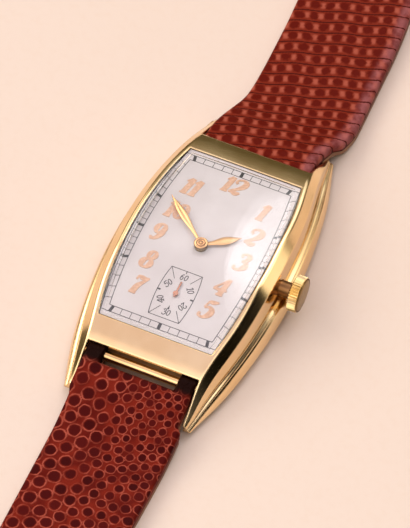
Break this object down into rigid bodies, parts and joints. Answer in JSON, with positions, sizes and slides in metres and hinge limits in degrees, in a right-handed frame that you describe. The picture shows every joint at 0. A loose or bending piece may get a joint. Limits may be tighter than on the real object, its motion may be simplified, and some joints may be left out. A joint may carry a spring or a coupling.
{
  "type": "wristwatch",
  "caption": "Gold tonneau wristwatch with arched crystal, small seconds, winding crown, hand-wound movement, lizard-grain leather straps and pin buckle.",
  "frame": {"origin": "middle of the case back's flat outer face, under the centre of the hands", "axes": "+Y from the centre of the dial to twelve o'clock, +X towards the crown, +Z out of the dial"},
  "size_m": [0.0252, 0.233, 0.0083],
  "materials": {
    "gold": "polished rose gold",
    "bar_gold": "polished",
    "hand_gold": "polished",
    "hand_copper": "polished",
    "crystal": "clear polished",
    "dial": "satin silver white with rose gold numerals",
    "steel": "fine brushed",
    "blued_steel": "heat blued",
    "nickel": "frosted nickel plate",
    "ruby": "polished",
    "brass": "satin",
    "strap_leather": "glossy lizard grain",
    "lining_leather": "smooth"
  },
  "bodies": {
    "case": {"case_body": "gold", "case_back": "gold", "crystal": "crystal", "crown_tube": "gold", "dial": "dial", "dial_screws": "steel", "main_plate": "nickel", "movement_clamps": "steel", "clamp_screws": "blued_steel", "barrel_bridge": "nickel", "train_bridge": "nickel", "balance_cock": "nickel", "bridge_screws": "blued_steel", "jewels": "ruby", "click_spring": "steel", "hairspring": "blued_steel", "minute_stud": "steel", "crown_wheel_screw": "blued_steel", "spring_bar_12": "bar_gold", "spring_bar_6": "bar_gold"},
    "fourth": {"fourth_wheel": "brass", "seconds_hand": "hand_copper"},
    "escape": {"escape_wheel": "steel"},
    "third": {"third_wheel": "brass"},
    "centre": {"centre_wheel": "brass", "cannon_pinion": "steel", "minute_hand": "hand_gold"},
    "minute_wheel": {"minute_wheel": "brass"},
    "hour": {"hour_wheel": "brass", "hour_hand": "hand_gold"},
    "barrel": {"barrel_drum": "brass", "barrel_cover": "brass", "mainspring": "blued_steel"},
    "arbor": {"barrel_arbor": "steel", "ratchet_wheel": "steel", "ratchet_screw": "blued_steel"},
    "crown_wheel": {"crown_wheel": "steel"},
    "click": {"click": "steel"},
    "pallet": {"pallet_fork": "steel"},
    "balance": {"balance_wheel": "brass"},
    "setting_lever": {"setting_lever": "steel"},
    "stem": {"winding_stem": "steel", "crown": "gold"},
    "winding_pinion": {"winding_pinion": "steel"},
    "yoke": {"yoke": "steel"},
    "clutch": {"clutch_wheel": "steel"},
    "pin_12_left": {"spring_bar_12_pin_left": "bar_gold"},
    "pin_12_right": {"spring_bar_12_pin_right": "bar_gold"},
    "pin_6_left": {"spring_bar_6_pin_left": "bar_gold"},
    "pin_6_right": {"spring_bar_6_pin_right": "bar_gold"},
    "strap_12": {"strap_12": "strap_leather", "strap_12_lining": "lining_leather", "fixed_keeper": "strap_leather"},
    "strap_6": {"strap_6": "strap_leather", "strap_6_lining": "lining_leather"},
    "free_keeper": {"free_keeper": "strap_leather"},
    "buckle": {"buckle_frame": "gold", "buckle_bar": "gold"},
    "tongue": {"buckle_tongue": "gold"}
  },
  "joints": [
    {"name": "seconds_turn", "type": "hinge", "parent": "case", "child": "fourth", "pos_m": [0, -0.0073, 0.0025], "axis": [0, 0, -1], "continuous": true},
    {"name": "escape_turn", "type": "hinge", "parent": "case", "child": "escape", "pos_m": [0.0029, -0.0092, 0.0025], "axis": [0, 0, -1], "continuous": true},
    {"name": "third_turn", "type": "hinge", "parent": "case", "child": "third", "pos_m": [-0.0017, -0.00397, 0.0025], "axis": [0, 0, -1], "continuous": true},
    {"name": "minutes_turn", "type": "hinge", "parent": "case", "child": "centre", "pos_m": [0, 0, 0.0025], "axis": [0, 0, -1], "continuous": true},
    {"name": "minute_wheel_turn", "type": "hinge", "parent": "case", "child": "minute_wheel", "pos_m": [-0.0026, 0.0015, 0.0051], "axis": [0, 0, -1], "continuous": true},
    {"name": "hours_turn", "type": "hinge", "parent": "case", "child": "hour", "pos_m": [0, 0, 0.0054], "axis": [0, 0, -1], "continuous": true},
    {"name": "barrel_turn", "type": "hinge", "parent": "case", "child": "barrel", "pos_m": [0, 0.00574, 0.0025], "axis": [0, 0, -1], "continuous": true},
    {"name": "crown_pull", "type": "slide", "parent": "case", "child": "setting_lever", "axis": [1, 0, 0], "range_m": [0, 0.0008]},
    {"name": "crown_turn", "type": "hinge", "parent": "setting_lever", "child": "stem", "pos_m": [0, 0, 0.0041], "axis": [1, 0, 0], "continuous": true},
    {"name": "winding_pinion_turn", "type": "hinge", "parent": "case", "child": "winding_pinion", "pos_m": [0, 0, 0.0041], "axis": [1, 0, 0], "continuous": true},
    {"name": "yoke_shift", "type": "slide", "parent": "case", "child": "yoke", "axis": [-1, 0, 0], "range_m": [0, 0.0006]},
    {"name": "clutch_turn", "type": "hinge", "parent": "yoke", "child": "clutch", "pos_m": [0, 0, 0.0041], "axis": [1, 0, 0], "continuous": true},
    {"name": "crown_wheel_turn", "type": "hinge", "parent": "case", "child": "crown_wheel", "pos_m": [0.00567, 0.00159, 0.0011], "axis": [0, 0, 1], "continuous": true},
    {"name": "ratchet_turn", "type": "hinge", "parent": "case", "child": "arbor", "pos_m": [0, 0.00574, 0.0011], "axis": [0, 0, 1], "continuous": true},
    {"name": "click_rock", "type": "hinge", "parent": "case", "child": "click", "pos_m": [-0.00402, 0.01089, 0.0011], "axis": [0, 0, 1], "range_deg": [0, 8], "stiffness_Nm_per_rad": 0.00002},
    {"name": "pallet_rock", "type": "hinge", "parent": "case", "child": "pallet", "pos_m": [0.00346, -0.00664, 0.0025], "axis": [0, 0, 1], "range_deg": [-4, 4]},
    {"name": "balance_swing", "type": "hinge", "parent": "case", "child": "balance", "pos_m": [0.0043, -0.00288, 0.0025], "axis": [0, 0, 1], "range_deg": [-135, 135], "stiffness_Nm_per_rad": 0.00000004},
    {"name": "pin_12_left_press", "type": "slide", "parent": "case", "child": "pin_12_left", "axis": [1, 0, 0], "range_m": [0, 0.00065], "stiffness_N_per_m": 600},
    {"name": "pin_12_right_press", "type": "slide", "parent": "case", "child": "pin_12_right", "axis": [-1, 0, 0], "range_m": [0, 0.00065], "stiffness_N_per_m": 600},
    {"name": "pin_6_left_press", "type": "slide", "parent": "case", "child": "pin_6_left", "axis": [1, 0, 0], "range_m": [0, 0.00065], "stiffness_N_per_m": 600},
    {"name": "pin_6_right_press", "type": "slide", "parent": "case", "child": "pin_6_right", "axis": [-1, 0, 0], "range_m": [0, 0.00065], "stiffness_N_per_m": 600},
    {"name": "strap_12_swing", "type": "hinge", "parent": "case", "child": "strap_12", "pos_m": [0, 0.017, 0.0034], "axis": [1, 0, 0], "range_deg": [-75, 10]},
    {"name": "strap_6_swing", "type": "hinge", "parent": "case", "child": "strap_6", "pos_m": [0, -0.017, 0.0034], "axis": [1, 0, 0], "range_deg": [-10, 75]},
    {"name": "free_keeper_slide", "type": "slide", "parent": "strap_12", "child": "free_keeper", "axis": [0, 1, 0], "range_m": [-0.0115, 0.0032]},
    {"name": "buckle_swing", "type": "hinge", "parent": "strap_12", "child": "buckle", "pos_m": [0, 0.092, 0.0022], "axis": [1, 0, 0], "range_deg": [-70, 50]},
    {"name": "tongue_swing", "type": "hinge", "parent": "buckle", "child": "tongue", "pos_m": [0, 0.092, 0.0022], "axis": [1, 0, 0], "range_deg": [0, 70]}
  ],
  "couplings": [
    {"joint": "escape_turn", "follows": "seconds_turn", "ratio": -10},
    {"joint": "third_turn", "follows": "seconds_turn", "ratio": -0.13333},
    {"joint": "minutes_turn", "follows": "seconds_turn", "ratio": 0.016667},
    {"joint": "minute_wheel_turn", "follows": "seconds_turn", "ratio": -0.0055556},
    {"joint": "hours_turn", "follows": "seconds_turn", "ratio": 0.0013889},
    {"joint": "barrel_turn", "follows": "seconds_turn", "ratio": -0.0023148},
    {"joint": "winding_pinion_turn", "follows": "crown_turn", "ratio": 1},
    {"joint": "clutch_turn", "follows": "crown_turn", "ratio": 1},
    {"joint": "crown_wheel_turn", "follows": "crown_turn", "ratio": 0.57143},
    {"joint": "ratchet_turn", "follows": "crown_turn", "ratio": -0.22642},
    {"joint": "yoke_shift", "follows": "crown_pull", "ratio": 0.75}
  ]
}
